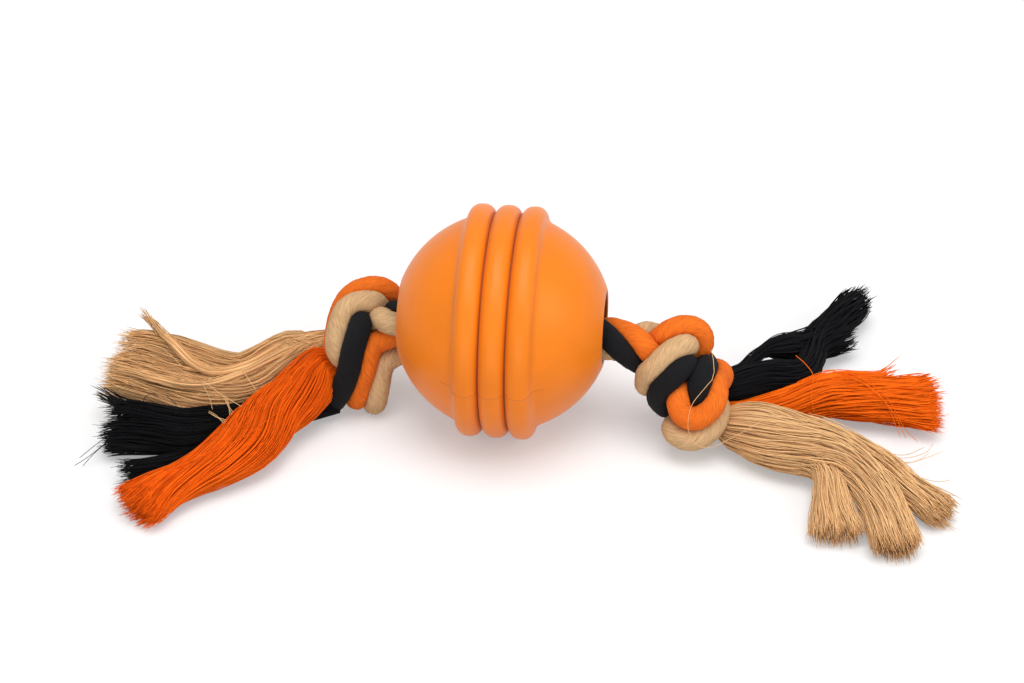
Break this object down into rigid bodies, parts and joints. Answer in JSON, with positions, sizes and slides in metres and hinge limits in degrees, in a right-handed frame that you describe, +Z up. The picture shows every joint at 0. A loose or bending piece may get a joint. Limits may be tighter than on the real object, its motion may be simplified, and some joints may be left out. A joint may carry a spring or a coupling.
{
  "type": "dog toy ball on a knotted rope",
  "caption": "Hollow rubber ball with ribs round its middle, threaded on a laid cotton rope that is knotted on both sides and unravels into tassels; a fetch and tug toy for dogs.",
  "frame": {"origin": "on the floor under the centre of the ball, which rests on its middle rib", "axes": "+X along the ball's bore, towards the picture's right; -Y towards the viewer; +Z up"},
  "size_m": [0.299, 0.1505, 0.0798],
  "materials": {
    "orange_rubber": "satin, faintly mottled",
    "orange_yarn": "matt felted cotton yarn",
    "black_yarn": "matt felted cotton yarn",
    "tan_yarn": "matt felted cotton yarn"
  },
  "bodies": {
    "ball": {"ball_shell": "orange_rubber"},
    "rope_core": {"orange_core_strand": "orange_yarn", "black_core_strand": "black_yarn", "tan_core_strand": "tan_yarn"},
    "left_neck": {"left_orange_neck_strand": "orange_yarn", "left_black_neck_strand": "black_yarn", "left_tan_neck_strand": "tan_yarn"},
    "left_knot": {"left_orange_knot_strand": "orange_yarn", "left_black_knot_strand": "black_yarn", "left_tan_knot_strand": "tan_yarn"},
    "left_orange_tassel": {"left_orange_tassel": "orange_yarn"},
    "left_black_tassel": {"left_black_tassel": "black_yarn"},
    "left_tan_tassel": {"left_tan_tassel": "tan_yarn"},
    "right_neck": {"right_orange_neck_strand": "orange_yarn", "right_black_neck_strand": "black_yarn", "right_tan_neck_strand": "tan_yarn"},
    "right_knot": {"right_orange_knot_strand": "orange_yarn", "right_black_knot_strand": "black_yarn", "right_tan_knot_strand": "tan_yarn"},
    "right_orange_tassel": {"right_orange_tassel": "orange_yarn"},
    "right_black_tassel": {"right_black_tassel": "black_yarn"},
    "right_tan_tassel": {"right_tan_tassel": "tan_yarn"}
  },
  "joints": [
    {"name": "rope_slide", "type": "slide", "parent": "ball", "child": "rope_core", "axis": [1, 0, 0], "range_m": [-0.003, 0]},
    {"name": "left_twist", "type": "hinge", "parent": "rope_core", "child": "left_neck", "pos_m": [0, 0, 0.03988], "axis": [1, 0, 0], "continuous": true},
    {"name": "left_bend", "type": "hinge", "parent": "left_neck", "child": "left_knot", "pos_m": [-0.033, 0, 0.03598], "axis": [0, 0, 1], "range_deg": [-3, 20]},
    {"name": "right_twist", "type": "hinge", "parent": "rope_core", "child": "right_neck", "pos_m": [0, 0, 0.03988], "axis": [1, 0, 0], "continuous": true},
    {"name": "right_bend", "type": "hinge", "parent": "right_neck", "child": "right_knot", "pos_m": [0.033, 0, 0.03598], "axis": [0, 0, 1], "range_deg": [-10, 5]},
    {"name": "left_orange_tassel_lift", "type": "hinge", "parent": "left_knot", "child": "left_orange_tassel", "pos_m": [-0.0631, -0.00642, 0.01596], "axis": [-0.6823, 0.7311, 0], "range_deg": [0, 20]},
    {"name": "left_tan_tassel_swing", "type": "hinge", "parent": "left_knot", "child": "left_tan_tassel", "pos_m": [-0.06754, 0.00861, 0.01902], "axis": [0, 0, 1], "range_deg": [-15, 0]},
    {"name": "left_black_tassel_swing", "type": "hinge", "parent": "left_knot", "child": "left_black_tassel", "pos_m": [-0.06298, -0.01165, 0.00507], "axis": [0, 0, 1], "range_deg": [-3.5, 0]},
    {"name": "right_orange_tassel_lift", "type": "hinge", "parent": "right_knot", "child": "right_orange_tassel", "pos_m": [0.0835, 0.00217, 0.00681], "axis": [0.3162, -0.9487, 0], "range_deg": [0, 30]},
    {"name": "right_tan_tassel_swing", "type": "hinge", "parent": "right_knot", "child": "right_tan_tassel", "pos_m": [0.0813, -0.01065, 0.00879], "axis": [0, 0, 1], "range_deg": [-25, 10]},
    {"name": "right_black_tassel_swing", "type": "hinge", "parent": "right_knot", "child": "right_black_tassel", "pos_m": [0.0799, 0.01218, 0.01227], "axis": [0, 0, 1], "range_deg": [-4, 25]}
  ],
  "couplings": [
    {"joint": "right_twist", "follows": "left_twist", "ratio": 1}
  ]
}
